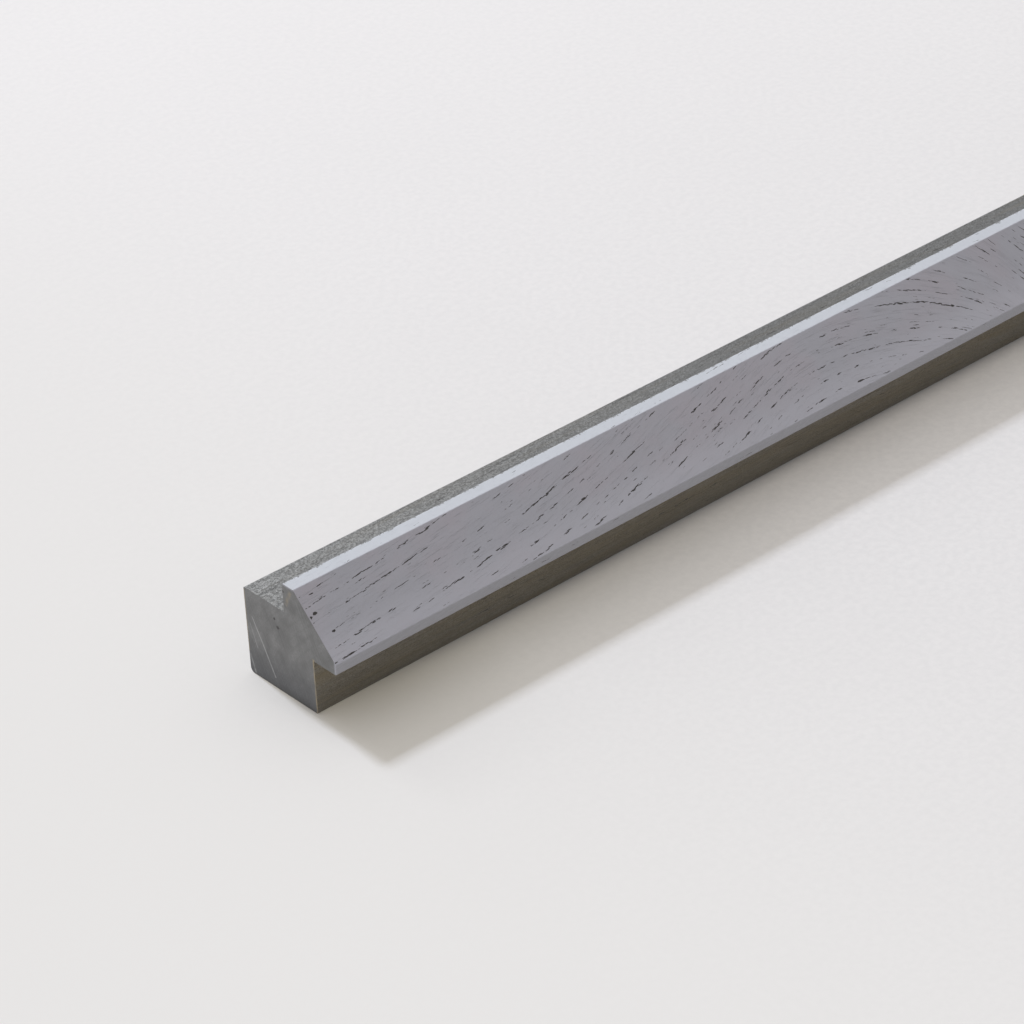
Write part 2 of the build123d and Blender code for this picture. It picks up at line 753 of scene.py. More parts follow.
def is_round_about(ring):
    """Whether a ring of points turns once, to the left, about its middle."""
    middle = sum(ring, Vector((0, 0))) / len(ring)
    arms = [point - middle for point in ring]
    return all(first.cross(second) > 1e-6 for first, second in zip(arms, arms[1:] + arms[:1]))


def pores_on_face(outlines, number):
    """The points, outlines and floor lines of one face's pores."""
    numbers = outlines.attributes["face_number"].data
    members = [vertex.index for vertex in outlines.vertices if numbers[vertex.index].value == number]
    place = {index: order for order, index in enumerate(members)}
    rims = [[place[i] for i in rim.vertices] for rim in outlines.polygons if rim.vertices[0] in place]
    on_rim = {order for rim in rims for order in rim}
    floors = [
        [place[i] for i in edge.vertices]
        for edge in outlines.edges
        if edge.vertices[0] in place and place[edge.vertices[0]] not in on_rim
    ]
    return [outlines.vertices[index].co for index in members], rims, floors


# Large open vessels by the near end of the bevelled face, in millimetres: from the
# end, up the face, and half the length and half the width of each
LARGE_PORES = (
    (0.80, 15.0, 0.58, 0.46),
    (2.7, 15.6, 0.80, 0.50),
    (5.4, 8.8, 0.64, 0.38),
    (4.7, 21.0, 0.85, 0.17),
)
LARGE_PORE_SIDES = 12
LARGE_PORE_DEPTH = 0.45 * MM


def large_pores(pores, frame_of_face):
    """The pores of a face with the large vessels added."""
    points, rims, floors = (list(part) for part in pores)
    corner, way, _, outward = frame_of_face
    for station, up, half_length, half_width in LARGE_PORES:
        first = len(points)
        middle = corner + Vector((trim_low.x + station * MM, 0, 0)) + way * (up * MM)
        for number in range(LARGE_PORE_SIDES):
            angle = number / LARGE_PORE_SIDES * math.tau
            swell = 1 + 0.09 * math.sin(3 * angle + station) + 0.08 * math.sin(5 * angle + up)
            along = math.cos(angle) * half_length * swell * MM
            points.append(middle + Vector((along, 0, 0)) + way * (math.sin(angle) * half_width * swell * MM))
        rims.append(list(range(first, first + LARGE_PORE_SIDES)))
        floors.append([len(points), len(points) + 1])
        for along in (-FLOOR_SHARE, FLOOR_SHARE):
            points.append(middle + Vector((along * half_length * MM, 0, 0)) - outward * LARGE_PORE_DEPTH)
    return points, rims, floors


def carve_face(points, faces, frame_of_face, pores):
    """Cut pores into one flat side. Adds to the points, and returns plain and pore triangles."""
    corner, way, _, outward = frame_of_face
    border = border_of(faces)
    rim_points = sorted({index for edge in border for index in edge})
    order = {index: number for number, index in enumerate(rim_points)}
    flat = [Vector((points[i].x, (points[i] - corner).dot(way))) / MM for i in rim_points]
    low = min(point.y for point in flat) + EDGE_MARGIN / MM
    high = max(point.y for point in flat) - EDGE_MARGIN / MM
    near = max(points[i].x for i in rim_points if points[i].x < trim_low.x + 2 * MM) / MM + END_MARGIN / MM
    far = trim_high.x / MM - END_MARGIN / MM
    pore_points, rims, floors = pores
    first = len(flat)
    depths = {}
    for number, point in enumerate(pore_points):
        across = min(max((point - corner).dot(way) / MM, low), high)
        flat.append(Vector((min(max(point.x / MM, near), far), across)))
        depths[first + number] = -(point - corner).dot(outward)
    outlines = []
    edges = [(order[a], order[b]) for a, b in border]
    for rim, floor in zip(rims, floors):
        rim = [first + index for index in rim]
        if is_round_about([flat[index] for index in rim]):
            outlines.append(rim)
            edges.append((first + floor[0], first + floor[1]))
    # A line across at mid length, where the map for baking is cut in two
    middle = [number for number in range(first) if abs(flat[number].x) < 1e-3]
    middle.sort(key=lambda number: flat[number].y)
    edges.append((middle[0], middle[-1]))
    cut = geometry.delaunay_2d_cdt(flat, edges, outlines, 1, 1e-5)
    cut_points, _, triangles, from_points, _, from_faces = cut
    # A point sinks only where every triangle round it lies in a pore
    plain_triangles = [triangle for triangle, source in zip(triangles, from_faces) if not source]
    at_surface = {index for triangle in plain_triangles for index in triangle}
    numbers = []
    for index, (point, sources) in enumerate(zip(cut_points, from_points)):
        known = [source for source in sources if source < first]
        if known:
            numbers.append(rim_points[known[0]])
            continue
        depth = 0.0
        if index not in at_surface:
            depth = max([depths.get(source, 0.0) for source in sources] + [SHALLOW_DEPTH])
        along = Vector((point.x * MM - corner.x, 0, 0))
        points.append(corner + along + way * (point.y * MM) - outward * depth)
        numbers.append(len(points) - 1)
    plain, carved = [], []
    for triangle, source in zip(triangles, from_faces):
        a, b, c = (cut_points[index] for index in triangle)
        ordered = list(triangle) if (b - a).cross(c - a) > 0 else list(reversed(triangle))
        (carved if source else plain).append([numbers[index] for index in ordered])
    return plain, carved


# The map for baking: how much room a side gets for its width, by its number, and
# the sizes of the map's margin, of a row and of an end
BAKE_WEIGHTS = {0: 1.7, 1: 1.4, 8: 1.4}
PLAIN_WEIGHT = 0.75
BAKE_MARGIN = 0.004
BAKE_ROW = 0.400
BAKE_END = 0.165
BAKE_END_STEP = 0.2


def unrolled(ring, frames):
    """The stretches of the section laid end to end, and the room that they take.

    Each has its first point, its run, its place and its room on the map, its
    side, or None for a part of a round, and its middle.
    """
    stretches = []
    start = 0.0
    for first, second in zip(ring, ring[1:] + ring[:1]):
        length = (second - first).length
        middle = (first + second) / 2
        side = None
        for number, (corner, _, _, outward) in enumerate(frames):
            if length > 1.5 * MM and abs((Vector((0, *middle)) - corner).dot(outward)) < 0.1 * MM:
                side = number
        room = length * BAKE_WEIGHTS.get(side, PLAIN_WEIGHT)
        stretches.append((first, second - first, start, room, side, middle))
        start += room
    return stretches, start


def add_bake_map(mesh, ring, frames, homes):
    """Lay the trim out flat for baking: each half of its length as a row, and the ends above them."""
    stretches, total = unrolled(ring, frames)
    of_side = {stretch[4]: stretch for stretch in stretches if stretch[4] is not None}
    of_rounds = [stretch for stretch in stretches if stretch[4] is None]
    layer = mesh.uv_layers.new(name="OFBake")
    for polygon, home in zip(mesh.polygons, homes):
        centre = polygon.center
        for loop in polygon.loop_indices:
            place = mesh.vertices[mesh.loops[loop].vertex_index].co
            if home == "end":
                across = 0.5 - place.y / trim_size.y
                shift = 0.0 if centre.x < 0 else BAKE_END_STEP
                u = BAKE_MARGIN + shift + across * BAKE_END
                v = 1.0 - BAKE_MARGIN - BAKE_END + place.z / trim_size.z * BAKE_END
            else:
                here = Vector((centre.y, centre.z))
                nearest = min(of_rounds, key=lambda stretch: (stretch[5] - here).length_squared)
                first, run, start, room, _, _ = of_side.get(home, nearest)
                share = (Vector((place.y, place.z)) - first).dot(run) / run.length_squared
                half = 0 if centre.x < 0 else 1
                u = (place.x - trim_low.x) / trim_size.x * 2 - half
                u = BAKE_MARGIN + u * (1 - 2 * BAKE_MARGIN)
                across = 1 - (start + share * room) / total
                v = BAKE_MARGIN + half * (BAKE_ROW + 2 * BAKE_MARGIN) + across * BAKE_ROW
            layer.data[loop].uv = (u, v)


def mark_sharp_edges(mesh, homes):
    """Flat sides, rounds, ends and pores meet in sharp edges, so that each keeps its own shading."""
    beside = {}
    for polygon, home in zip(mesh.polygons, homes):
        for key in polygon.edge_keys:
            beside.setdefault(key, set()).add((home, polygon.material_index))
    for edge in mesh.edges:
        edge.use_edge_sharp = len(beside[edge.key]) > 1


# Stands for the number of a side where a face lies on none
ROUND = -1


def carved_mesh(blank, outlines, sizes, inside_material):
    """The blank with its pores cut in, as a new mesh."""
    points = [vertex.co.copy() for vertex in blank.vertices]
    materials = [material for material in blank.materials if material]
    slots = {index: materials.index(material) for index, material in enumerate(blank.materials) if material}
    sides = {number: [] for number in range(len(PORE_FACES))}
    frames = [face_frame(sizes, start, end) for start, end, *_ in PORE_FACES]
    kept = []
    for polygon in blank.polygons:
        face = list(polygon.vertices)
        home = None
        for number, (corner, _, _, outward) in enumerate(frames):
            on_plane = all(abs((points[i] - corner).dot(outward)) < 1e-6 for i in face)
            if on_plane and polygon.normal.dot(outward) > 0.999 and polygon.area > 1e-6 and len(face) == 4:
                home = number
        if home is None:
            kept.append((face, slots[polygon.material_index], ROUND))
        else:
            sides[home].append((face, slots[polygon.material_index]))
    for number, faces in sides.items():
        pores = pores_on_face(outlines, number)
        if number == 0:
            pores = large_pores(pores, frames[number])
        plain, carved = carve_face(points, [face for face, _ in faces], frames[number], pores)
        kept.extend((face, faces[0][1], number) for face in plain)
        kept.extend((face, len(materials), number) for face in carved)
    mesh = bpy.data.meshes.new(PIECE)
    mesh.from_pydata(points, [], [face for face, _, _ in kept])
    for material in (*materials, inside_material):
        mesh.materials.append(material)
    mesh.polygons.foreach_set("material_index", [slot for _, slot, _ in kept])
    mesh.polygons.foreach_set("use_smooth", [True] * len(kept))
    homes = [side for _, _, side in kept]
    for polygon in mesh.polygons:
        if homes[polygon.index] == ROUND and abs(polygon.normal.x) > 0.9:
            homes[polygon.index] = "end"
    mark_sharp_edges(mesh, homes)
    ring = [point for point in blank.vertices if point.co.x > trim_high.x - MM]
    ring = [Vector((point.co.y, point.co.z)) for point in ring]
    add_bake_map(mesh, ring, frames, homes)
    mesh.update()
    return mesh


def new_material(name):
    """A material with one Principled shader. Returns it, its tree and the shader."""
    material = bpy.data.materials.new(name)
    material.use_nodes = True
    tree = material.node_tree
    return material, tree, tree.nodes["Principled BSDF"]


def mixed(share, first, second):
    """Two colours mixed by a share. A constant colour has three values."""
    node = add(share.tree, "ShaderNodeMix", data_type="RGBA")
    sockets = {socket.identifier: socket for socket in node.inputs}
    put(sockets["Factor_Float"], share)
    for name, colour in (("A_Color", first), ("B_Color", second)):
        put(sockets[name], colour if isinstance(colour, Value) else (*colour, 1.0))
    return Value(next(socket for socket in node.outputs if socket.identifier == "Result_Color"))


def ring_flow_group():
    """Shader group: where a point lies in the grain, in millimetres along and across the rings."""
    tree, given, out = new_group(
        "Ring flow",
        "ShaderNodeTree",
        {"Position": ("vector", None), "Flow": ("value", 1.0)},
        {"Along": "value", "Across": "value", "Place": "vector"},
    )
    x, y, z = separated(given["Position"])
    rise = ring_curve(x / trim_size.x + 0.5) * given["Flow"]
    height = (y + z) * math.sqrt(0.5)
    across = (height - rise) * (1 / MM)
    depth = (z - y) * (math.sqrt(0.5) / MM)
    along = x * (1 / MM)
    put(out["Along"], along)
    put(out["Across"], across)
    put(out["Place"], combined(tree, along, across, depth))
    return tree


def streak_group():
    """Shader group: soft streaks that run with the grain, from 0 to 1."""
    tree, given, out = new_group(
        "Grain streaks",
        "ShaderNodeTree",
        {"Place": ("vector", None), "Streak Length": ("value", 20.0), "Streak Width": ("value", 0.5)},
        {"Streaks": "value"},
    )
    along, across, depth = separated(given["Place"])
    width = given["Streak Width"]
    place = combined(tree, along / given["Streak Length"], across / width, depth / width)
    put(out["Streaks"], noise(place, 1.0, 3.0, 0.55))
    return tree


def speck_group():
    """Shader group: sprayed specks, from 0 to 1, and their height."""
    tree, given, out = new_group(
        "Sprayed specks",
        "ShaderNodeTree",
        {"Place": ("vector", None), "Speck Size": ("value", 0.4), "Coverage": ("value", 0.5)},
        {"Specks": "value", "Height": "value"},
    )
    fine = noise(given["Place"], 1.0 / given["Speck Size"], 3.0, 0.65)
    limit = 1.0 - given["Coverage"]
    put(out["Specks"], ranged(fine, limit - 0.10, limit + 0.10, smooth=True))
    put(out["Height"], fine)
    return tree


def overall(operation, values):
    """The largest or the smallest of several values, as the operation says."""
    result = values[0]
    for value in values[1:]:
        result = maths(operation, result, value)
    return result


def edge_group(sizes):
    """Shader group: 1 at the outer arrises of the section, fading away from them."""
    tree, given, out = new_group(
        "Arris wear and highlight",
        "ShaderNodeTree",
        {"Position": ("vector", None), "Reach": ("value", 0.4), "Unevenness": ("value", 0.5)},
        {"Wear And Highlight": "value"},
    )
    _, y, z = separated(given["Position"])
    corners = section_corners(sizes)
    arrises = [corners[name] for name in ("A", "C", "D", "E", "F", "I", "J")]
    half = sizes.blank_width / 2
    nearest = overall("MINIMUM", [length_of(y - (half - across), z - up) for across, up in arrises])
    uneven = (noise(given["Position"], 350.0, 3.0, 0.6) - 0.5) * given["Unevenness"]
    put(out["Wear And Highlight"], ranged(nearest * (1 / MM) + uneven, 0.0, given["Reach"], 1.0, 0.0, smooth=True))
    return tree


def tinted(colour, *factors):
    """A constant colour with each of its three values made larger or smaller."""
    return [min(1.0, value * factor) for value, factor in zip(colour, factors)]


def times(colour, factor):
    """A constant colour made lighter or darker."""
    return tinted(colour, factor, factor, factor)


def line_mark(across, up, ends, reach):
    """1 on a straight line between two places in millimetres, fading to 0 at a distance from it."""
    start, end = (Vector(place) for place in ends)
    way = (end - start).normalized()
    half = (end - start).length / 2
    off_across = across - start.x
    off_up = up - start.y
    beyond = abs(off_across * way.x + off_up * way.y - half) - half
    aside = abs(off_across * way.y - off_up * way.x)
    return ranged(maths("MAXIMUM", aside, beyond), 0.0, reach, 1.0, 0.0, smooth=True)


def streaks_at(tree, groups, flow, length, width):
    """Streaks that run with the grain, of a length and width in millimetres."""
    inputs = {"Place": flow["Place"], "Streak Length": length, "Streak Width": width}
    return use_group(tree, groups["streaks"], inputs)["Streaks"]


def specks_at(tree, groups, place, size, coverage):
    """Specks of a size in millimetres, and their height."""
    return use_group(tree, groups["specks"], {"Place": place, "Speck Size": size, "Coverage": coverage})


def wear_and_highlight_at(tree, groups, position, reach, unevenness):
    """Wear and a painted highlight at the arrises, reaching in by some millimetres."""
    inputs = {"Position": position, "Reach": reach, "Unevenness": unevenness}
    return use_group(tree, groups["wear_and_highlight"], inputs)["Wear And Highlight"]


def object_position(tree):
    """Where a point lies on its object."""
    return made(tree, "ShaderNodeTexCoord", output="Object")


def surface_normal(tree):
    """The three values of the surface's normal."""
    return separated(made(tree, "ShaderNodeNewGeometry", output="Normal"))


def add_bump(shader, height, strength, distance):
    """Raise a surface by a height, for its shading."""
    inputs = {"Height": height, "Strength": strength, "Distance": distance}
    put(shader.inputs["Normal"], made(height.tree, "ShaderNodeBump", inputs))


def paint_material(colours, groups, edge_line):
    """The paint on the show faces: matt lilac grey, drawn thin over open grain.

    The back edge of the upper lip runs along X at a depth of edge_line.
    """
    material, tree, shader = new_material("Matt lilac paint on open grain")
    paint = colours.paint
    position = object_position(tree)
    flow = use_group(tree, groups["flow"], {"Position": position})
    streaks = streaks_at(tree, groups, flow, 7.0, 0.34)
    bands = streaks_at(tree, groups, flow, 60.0, 2.6)
    skin = specks_at(tree, groups, flow["Place"], 0.5, 0.5)
    wear_and_highlight = wear_and_highlight_at(tree, groups, position, 0.5, 0.6)
    clouds = noise(position, 55.0)
    _, _, normal_z = surface_normal(tree)
    _, y, z = separated(position)

    base = mixed(ranged(clouds, 0.40, 0.60), paint, tinted(paint, 1.045, 0.985, 0.985))
    base = mixed(ranged(skin["Height"], 0.35, 0.65, 0.0, 0.5), base, times(paint, 0.90))
    thin_lines = ranged(streaks, 0.57, 0.72, 0.0, 0.80)
    base = mixed(thin_lines, base, times(paint, 0.74))
    base = mixed(ranged(bands, 0.35, 0.70, 0.0, 0.35), base, times(paint, 1.09))
    # The bevelled face is lighter toward its lower edge
    toward_lower_edge = ranged(z * (1 / MM), 31.0, 24.0, 0.0, 0.6, smooth=True)
    base = mixed(toward_lower_edge, base, times(paint, 1.20))
    # Painted light: the flat tops are painted lighter and bluer as a painted sheen, and the narrow upright
    # noses darker as painted shade
    on_top = ranged(normal_z, 0.80, 0.97)
    base = mixed(on_top * 0.85, base, tinted(paint, 1.25, 1.295, 1.235))
    nose_shade_tint = tinted(paint, 0.955, 0.945, 0.900)
    painted_nose_shade = mixed(ranged(streaks, 0.35, 0.65), times(nose_shade_tint, 0.74), times(nose_shade_tint, 0.86))
    base = mixed(ranged(normal_z, 0.55, 0.20), base, painted_nose_shade)
    # Lighter at the arrises: wear, and a painted highlight
    base = mixed(wear_and_highlight * 0.45, base, times(paint, 1.16))
    # The back edge of the upper lip is ragged, and the paint stops short of it here and there
    in_from_edge = (edge_line - y) * (1 / MM)
    tears = noise(combined(tree, flow["Along"] * 0.12, 0.0, 0.0), 1.0, 6.0, 0.68)
    fray = noise(combined(tree, flow["Along"] * 1.4, in_from_edge, 0.0), 1.0, 3.0, 0.6)
    tears = ranged(tears, 0.40, 0.68, -0.25, 1.35) + ranged(fray, 0.35, 0.65, -0.35, 0.70)
    torn = ranged(tears - in_from_edge, 0.0, 0.40, 0.0, 0.78) * on_top
    base = mixed(torn, base, times(colours.spray, 0.52))
    put(shader.inputs["Base Color"], base)
    put(shader.inputs["Roughness"], ranged(skin["Height"], 0.3, 0.7, 0.38, 0.52))
    add_bump(shader, skin["Height"] * 0.35 - thin_lines * 0.8, 0.6, 0.2 * MM)
    return material


def spray_material(colours, groups):
    """The sawn and rebated faces: a thin, speckled spray with wood showing through."""
    material, tree, shader = new_material("Thin spray on sawn oak")
    spray = colours.spray
    position = object_position(tree)
    flow = use_group(tree, groups["flow"], {"Position": position, "Flow": 0.1})
    streaks = streaks_at(tree, groups, flow, 26.0, 0.32)
    bands = streaks_at(tree, groups, flow, 90.0, 2.2)
    specks = specks_at(tree, groups, flow["Place"], 1.0, 0.5)
    grit = specks_at(tree, groups, flow["Place"], 0.6, 0.42)
    wear_and_highlight = wear_and_highlight_at(tree, groups, position, 0.8, 0.9)
    x, _, z = separated(position)
    _, normal_y, normal_z = surface_normal(tree)

    # The gun was held over the show faces, so faces that look down or lie under a lip got little
    missed = ranged(normal_y * 0.4 - normal_z, 0.2, 0.9, 0.0, 0.35)
    under_lip = ranged(normal_y, -0.5, -0.9, 0.0, 0.80)
    bare = missed + under_lip + ranged(bands, 0.35, 0.75, -0.12, 0.22)
    bare = made(tree, "ShaderNodeClamp", {"Value": bare})

    grey = mixed(specks["Specks"], times(spray, 0.75), times(spray, 1.46))
    grey = mixed(grit["Specks"] * 0.65, grey, times(spray, 0.42))
    # The back is as it was sawn: the spray soaked in, and the saw left fine marks across the length
    sawn = ranged(normal_y, 0.6, 0.95)
    saw_marks = noise(combined(tree, flow["Along"] * 0.55, flow["Across"] * 0.03, 0.0), 1.0, 3.0, 0.6)
    soaked = mixed(ranged(saw_marks, 0.35, 0.65), times(spray, 0.74), times(spray, 0.98))
    soaked = mixed(ranged(streaks, 0.40, 0.70, 0.0, 0.55), soaked, times(spray, 0.62))
    grey = mixed(sawn * 0.72, grey, soaked)
    # The upper rebate is darker away from the near end
    darker_along_rebate = ranged(x, -0.45, -0.25, 0.0, 0.72) * ranged(normal_z, 0.5, 0.9)
    grey = mixed(darker_along_rebate, grey, times(spray, 0.42))
    wood = mixed(ranged(streaks, 0.35, 0.65), times(colours.wood, 0.56), times(colours.wood, 1.04))
    base = mixed(bare, grey, wood)
    lines = ranged(streaks, 0.56, 0.74, 0.0, 0.6)
    base = mixed(lines, base, times(spray, 0.45))
    # The upright faces are darker toward their foot
    foot = ranged(z, 0.0005, 0.014, 0.50, 0.06) * ranged(normal_z, 0.5, 0.0)
    base = mixed(foot, base, times(spray, 0.30))
    # Lighter at the arrises: wear, and a painted highlight
    base = mixed(wear_and_highlight * 0.35, base, times(spray, 1.5))
    put(shader.inputs["Base Color"], base)
    put(shader.inputs["Roughness"], ranged(specks["Height"], 0.3, 0.7, 0.36, 0.66))
    height = specks["Height"] + grit["Height"] - lines * 0.7 + saw_marks * sawn * 1.6
    add_bump(shader, height, 0.8, 0.6 * MM)
    return material


# What can be seen on the near end, in millimetres across from the back and up: the
# straight marks of the saw, the open vessels, and where wood shows at the arrises
SAW_LINES = (
    (((2.9, 20.6), (7.1, 12.6)), 0.42, 1.0),
    (((7.1, 12.6), (11.5, 3.6)), 0.40, 0.9),
    (((1.6, 17.9), (4.2, 10.4)), 0.30, 0.6),
    (((0.5, 6.4), (2.2, 0.9)), 0.55, 0.7),
)
VESSELS = ((13.4, 25.3, 0.42), (14.7, 22.8, 0.55), (18.5, 37.3, 0.40))
BARE_LINES = (
    (((30.0, 0.6), (30.0, 18.8)), 0.75, 1.0),
    (((21.6, 38.0), (19.5, 33.5)), 1.10, 0.40),
    (((0.0, 8.0), (0.0, 29.0)), 0.60, 0.7),
)
BLUE_LINES = ((((39.8, 19.4), (39.8, 22.6)), 0.9, 0.7), (((19.0, 39.9), (22.9, 39.9)), 0.7, 0.6))


def end_material(colours, groups):
    """The sawn ends: grey over end grain, with the marks of the saw."""
    material, tree, shader = new_material("Spray on sawn end grain")
    spray = colours.spray
    position = object_position(tree)
    factors = {0: position, 1: (1 / MM, 1 / MM, 1 / MM)}
    place = made(tree, "ShaderNodeVectorMath", factors, operation="MULTIPLY")
    specks = specks_at(tree, groups, place, 0.7, 0.5)
    wear_and_highlight = wear_and_highlight_at(tree, groups, position, 0.5, 0.5)
    clouds = noise(position, 160.0, 3.0)
    x, y, z = separated(position)
    across = (trim_size.y / 2 - y) * (1 / MM)
    up = z * (1 / MM)
    is_near = maths("LESS_THAN", x, 0.0)
    fade = ranged(noise(position, 420.0), 0.30, 0.55, 0.25, 1.0)

    def marks(lines):
        each = [line_mark(across, up, ends, reach) * strength for ends, reach, strength in lines]
        return overall("MAXIMUM", each) * is_near

    # The heart of the tree lay below and in front, so the rings end here as faint dark arcs about it
    heart_y, heart_z = -0.075, -0.045
    ring = length_of(y - heart_y, z - heart_z) * (1 / MM) + clouds * 0.8
    rings = ranged(maths("SINE", ring * 2.2), 0.45, 1.0, 0.0, 0.20)
    # The blade crossed the end at a slant
    blade = noise(combined(tree, across * 0.9 + up * 0.42, 0.0, 0.0), 1.5)

    base = mixed(ranged(clouds, 0.34, 0.66), times(spray, 0.51), times(spray, 0.80))
    base = mixed(specks["Specks"] * 0.30, base, times(spray, 0.58))
    base = mixed(rings, base, times(spray, 0.45))
    base = mixed(ranged(blade, 0.45, 0.7, 0.0, 0.22), base, times(spray, 0.92))
    foot = ranged(up, 1.0, 15.0, 0.78, 0.04)
    base = mixed(foot, base, tinted(times(spray, 0.71), 0.34, 0.355, 0.40))
    base = mixed(marks(SAW_LINES) * fade, base, times(spray, 1.35))
    base = mixed(marks(BARE_LINES) * fade, base, times(colours.wood, 1.25))
    base = mixed(marks(BLUE_LINES), base, times(colours.paint, 0.95))
    # Lighter at the arrises: wear, and a painted highlight
    base = mixed(wear_and_highlight * 0.25, base, times(spray, 1.2))
    ragged = ranged(specks["Height"], 0.3, 0.7, -0.2, 0.2)
    holes = [
        ranged(length_of(across - hole_across, up - hole_up) + ragged, size * 0.8, size * 1.3, 1.0, 0.0)
        for hole_across, hole_up, size in VESSELS
    ]
    vessels = overall("MAXIMUM", holes) * is_near
    base = mixed(vessels, base, times(colours.pore, 0.45))
    put(shader.inputs["Base Color"], base)
    put(shader.inputs["Roughness"], ranged(specks["Height"], 0.3, 0.7, 0.45, 0.62))
    add_bump(shader, specks["Height"] * 0.6 + blade * 0.8 - vessels, 0.5, 0.3 * MM)
    return material


def pore_material(colours):
    """The inside of a pore, where the paint did not reach."""
    material, _, shader = new_material("Bare inside of a pore")
    shader.inputs["Base Color"].default_value = (*colours.pore, 1.0)
    shader.inputs["Roughness"].default_value = 0.8
    return material


def set_inputs(modifier, values):
    """Set a modifier's inputs by the identifiers of their sockets."""
    sockets = {
        item.name: item.identifier
        for item in modifier.node_group.interface.items_tree
        if item.item_type == "SOCKET" and item.in_out == "INPUT"
    }
    for name, value in values.items():
        modifier[sockets[name]] = value


def made_by_nodes(group, values):
    """The plain mesh that a node group makes with some values."""
    maker = bpy.data.objects.new(group.name, bpy.data.meshes.new(group.name))
    bpy.context.scene.collection.objects.link(maker)
    modifier = maker.modifiers.new(group.name, "NODES")
    modifier.node_group = group
    set_inputs(modifier, values)
    view = bpy.context.evaluated_depsgraph_get()
    mesh = bpy.data.meshes.new_from_object(maker.evaluated_get(view))
    bpy.data.objects.remove(maker)
    if len(mesh.polygons) == 0:
        raise RuntimeError(f"{group.name} came out empty")
    return mesh


class TRIM_OT_make_trim(bpy.types.Operator):
    """Make the length of trim, with its section run out and its pores cut in"""

    bl_idname = "corner_trim.make_trim"
    bl_label = "Corner trim"

    def execute(self, context):
        scene = context.scene
        sizes, grain, colours = scene.trim_sizes, scene.trim_grain, scene.trim_colours
        groups = {
            "flow": ring_flow_group(),
            "streaks": streak_group(),
            "specks": speck_group(),
            "wear_and_highlight": edge_group(sizes),
        }
        materials = {
            "Paint": paint_material(colours, groups, sizes.blank_width / 2 - sizes.upper_rebate),
            "Spray": spray_material(colours, groups),
            "End Grain": end_material(colours, groups),
        }
        pore = pore_material(colours)
        blank_values = {**sizes_for(sizes, SECTION_SIZES + ("Length", "End Lean")), **materials}
        blank = made_by_nodes(blank_group(section_group(sizes), sizes), blank_values)
        grain_values = {**sizes_for(grain, GRAIN_SIZES + ("Seed",)), "Length": sizes.length, "Pore": pore}
        outlines = made_by_nodes(grain_group(pore_group(grain), sizes, grain), grain_values)
        mesh = carved_mesh(blank, outlines, sizes, pore)
        trim = bpy.data.objects.new(PIECE, mesh)
        scene.collection.objects.link(trim)
        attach(trim, BODY)
        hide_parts(NODE)
        return {"FINISHED"}


def floor_material(colours):
    """A plain pale floor with the faint tooth of heavy paper. A little light of its own fills the shadow."""
    material, tree, shader = new_material("Pale studio floor")
    floor, floor_glow = colours.floor, colours.floor_glow
    position = object_position(tree)
    x, y, _ = separated(position)
    clouds = noise(position, 9.0, 5.0, 0.6)
    tooth = noise(position, 420.0, 3.0, 0.6)
    base = mixed(ranged(clouds, 0.3, 0.7), times(floor, 0.975), times(floor, 1.01))
    base = mixed(ranged(tooth, 0.35, 0.65, 0.0, 0.5), base, times(floor, 0.95))
    # Painted light: the floor is painted lighter toward the back
    base = mixed(ranged(y, 0.0, 0.40), base, times(floor, 1.12))
    # By the near end less light comes off the floor itself, so the shadow there is deeper, and the floor's
    # colour is painted lighter there so that the lit floor stays as bright
    by_near_end = ranged(x, -0.22, -0.52, smooth=True)
    base = mixed(by_near_end * 0.75, base, times(floor, 1.11))
    put(shader.inputs["Base Color"], base)
    shader.inputs["Roughness"].default_value = 0.9
    shader.inputs["Specular IOR Level"].default_value = 0.1
    glow = mixed(ranged(tooth, 0.35, 0.65), floor_glow, times(floor_glow, 0.86))
    glow = mixed(by_near_end, glow, tinted(floor_glow, 0.74, 0.73, 0.60))
    # Nor does much of it reach the foot of the trim
    along_trim = maths("LESS_THAN", abs(x), trim_high.x)
    foot = maths("POWER", ranged(y, -0.0178, -0.0100), 2.0) * 0.85 * ranged(y, 0.0, -0.005)
    glow = mixed(foot * along_trim, glow, (0.0, 0.0, 0.0))
    # Under the lip by the near end it is deepest
    under_lip = ranged(y, -0.075, -0.02) * ranged(y, 0.012, 0.0)
    under_lip = under_lip * ranged(x, -0.385, -0.445) * ranged(x, -0.456, -0.446)
    glow = mixed(under_lip, glow, tinted(floor_glow, 0.44, 0.41, 0.27))
    put(shader.inputs["Emission Color"], glow)
    shader.inputs["Emission Strength"].default_value = 1.0
    return material


def way_toward(azimuth, elevation):
    """The way toward a camera or a lamp. Azimuth 0 is the front, where the show faces look."""
    flat = math.cos(elevation)
    return Vector((math.sin(azimuth) * flat, -math.cos(azimuth) * flat, math.sin(elevation)))


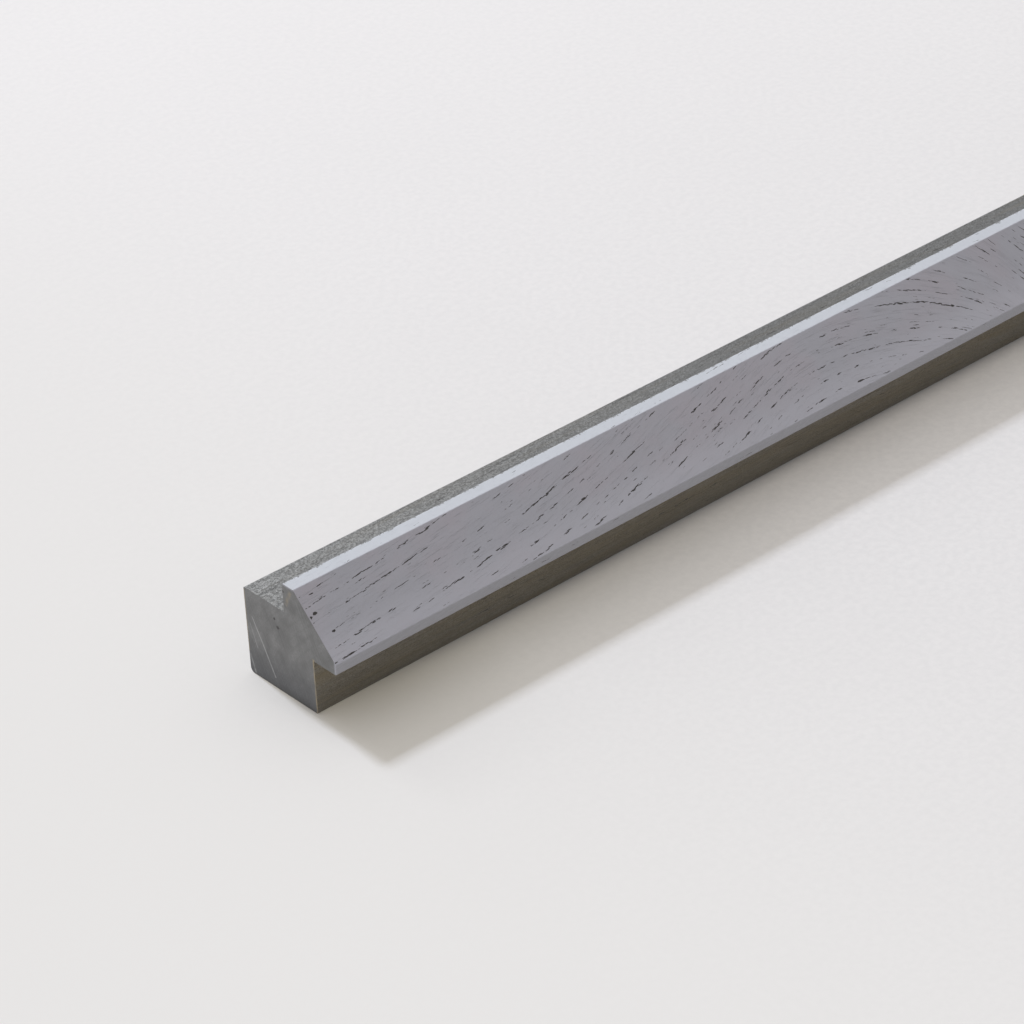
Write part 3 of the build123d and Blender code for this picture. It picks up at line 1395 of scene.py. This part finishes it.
class TRIM_OT_make_stage(bpy.types.Operator):
    """Make the floor, the lamps, the surround and the camera"""

    bl_idname = "corner_trim.make_stage"
    bl_label = "Stage"

    def execute(self, context):
        scene = context.scene
        stage, colours = scene.trim_stage, scene.trim_colours
        half = 4.0
        mesh = bpy.data.meshes.new("studio_floor")
        corners = [(-half, -half, 0), (half, -half, 0), (half, half, 0), (-half, half, 0)]
        mesh.from_pydata(corners, [], [(0, 1, 2, 3)])
        floor = bpy.data.objects.new("studio_floor", mesh)
        mesh.materials.append(floor_material(colours))
        scene.collection.objects.link(floor)

        lamp = bpy.data.lights.new("key_lamp", "SUN")
        lamp.energy = stage.key_power
        lamp.angle = stage.key_spread
        lamp.color = (0.88, 0.93, 1.0)
        key = bpy.data.objects.new("key_lamp", lamp)
        toward_key = way_toward(math.pi - stage.key_turn, stage.key_height)
        key.rotation_euler = toward_key.to_track_quat("Z", "Y").to_euler()
        scene.collection.objects.link(key)

        world = bpy.data.worlds.new("studio_surround")
        world.use_nodes = True
        tree = world.node_tree
        background = tree.nodes["Background"]
        background.inputs["Color"].default_value = (1.0, 0.965, 0.895, 1.0)
        toward = separated(made(tree, "ShaderNodeTexCoord", output="Generated"))
        level = stage.sky_power
        for part, lift in zip(toward, stage.sky_lift):
            level = part * lift + level
        put(background.inputs["Strength"], maths("MAXIMUM", level, 0.05))
        scene.world = world

        back = way_toward(stage.azimuth, stage.elevation)
        lens = bpy.data.cameras.new("studio_camera")
        lens.lens = stage.focal
        lens.sensor_width = 36.0
        lens.clip_end = 50.0
        camera = bpy.data.objects.new("studio_camera", lens)
        turn = back.to_track_quat("Z", "Y").to_matrix().to_4x4() @ Matrix.Rotation(stage.roll, 4, "Z")
        camera.matrix_world = Matrix.Translation(Vector(stage.target) + back * stage.distance) @ turn
        scene.collection.objects.link(camera)
        scene.camera = camera
        scene.view_settings.view_transform = "Standard"
        return {"FINISHED"}


# The property groups, by the names that they have on a scene
PROPERTIES = {
    "trim_sizes": TrimSizes,
    "trim_grain": GrainSizes,
    "trim_colours": FinishColours,
    "trim_stage": StageSizes,
}
OPERATORS = (TRIM_OT_make_trim, TRIM_OT_make_stage)


class TRIM_PT_panel(bpy.types.Panel):
    """The sizes and colours of the trim, and what makes it"""

    bl_idname = "TRIM_PT_panel"
    bl_label = "Corner Trim"
    bl_space_type = "VIEW_3D"
    bl_region_type = "UI"
    bl_category = "Corner Trim"

    def draw(self, context):
        layout = self.layout
        for operator in OPERATORS:
            layout.operator(operator.bl_idname)
        for name in PROPERTIES:
            group = getattr(context.scene, name)
            box = layout.box()
            box.label(text=group.bl_rna.description)
            for property_name in group.__annotations__:
                box.prop(group, property_name)


CLASSES = (*PROPERTIES.values(), *OPERATORS, TRIM_PT_panel)


def register():
    for kind in CLASSES:
        bpy.utils.register_class(kind)
    for name, kind in PROPERTIES.items():
        setattr(bpy.types.Scene, name, bpy.props.PointerProperty(type=kind))


def unregister():
    for name in PROPERTIES:
        delattr(bpy.types.Scene, name)
    for kind in reversed(CLASSES):
        bpy.utils.unregister_class(kind)


def main():
    register()
    bpy.ops.corner_trim.make_trim()
    bpy.ops.corner_trim.make_stage()


if __name__ == "__main__":
    main()
